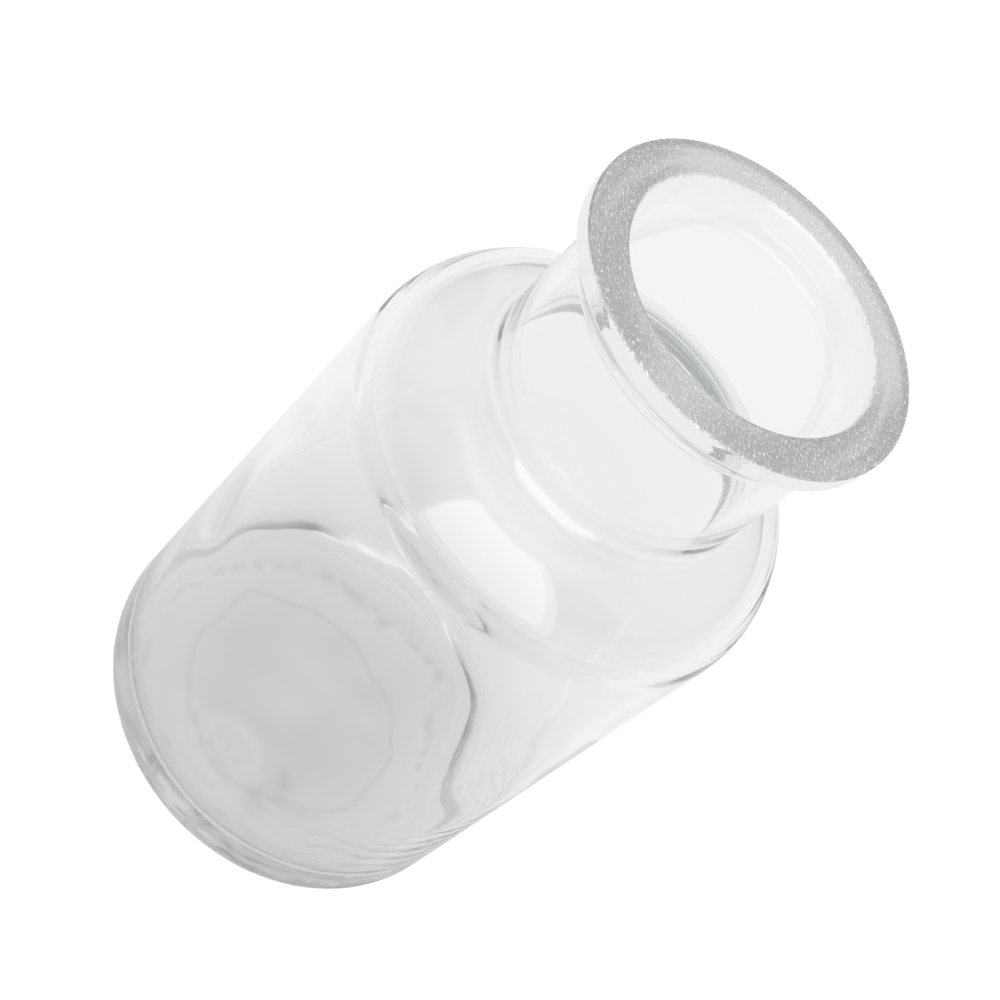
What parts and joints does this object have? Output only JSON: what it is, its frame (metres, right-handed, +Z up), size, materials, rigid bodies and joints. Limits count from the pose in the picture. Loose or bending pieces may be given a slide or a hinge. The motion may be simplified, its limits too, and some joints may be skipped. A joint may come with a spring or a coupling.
{
  "type": "gas jar",
  "caption": "Wide-mouthed jar of clear glass with a round shoulder, a short neck and a flanged rim ground flat for a cover plate.",
  "frame": {"origin": "centre of the standing ring, on the surface the jar stands on", "axes": "+Z up the jar's axis, out of its mouth; +X and +Y are alike, because the jar is round"},
  "size_m": [0.07, 0.07, 0.13],
  "materials": {
    "clear_glass": "fire-polished inside and out, with a matt ground face on the rim"
  },
  "bodies": {
    "root": {"jar": "clear_glass"}
  },
  "joints": []
}
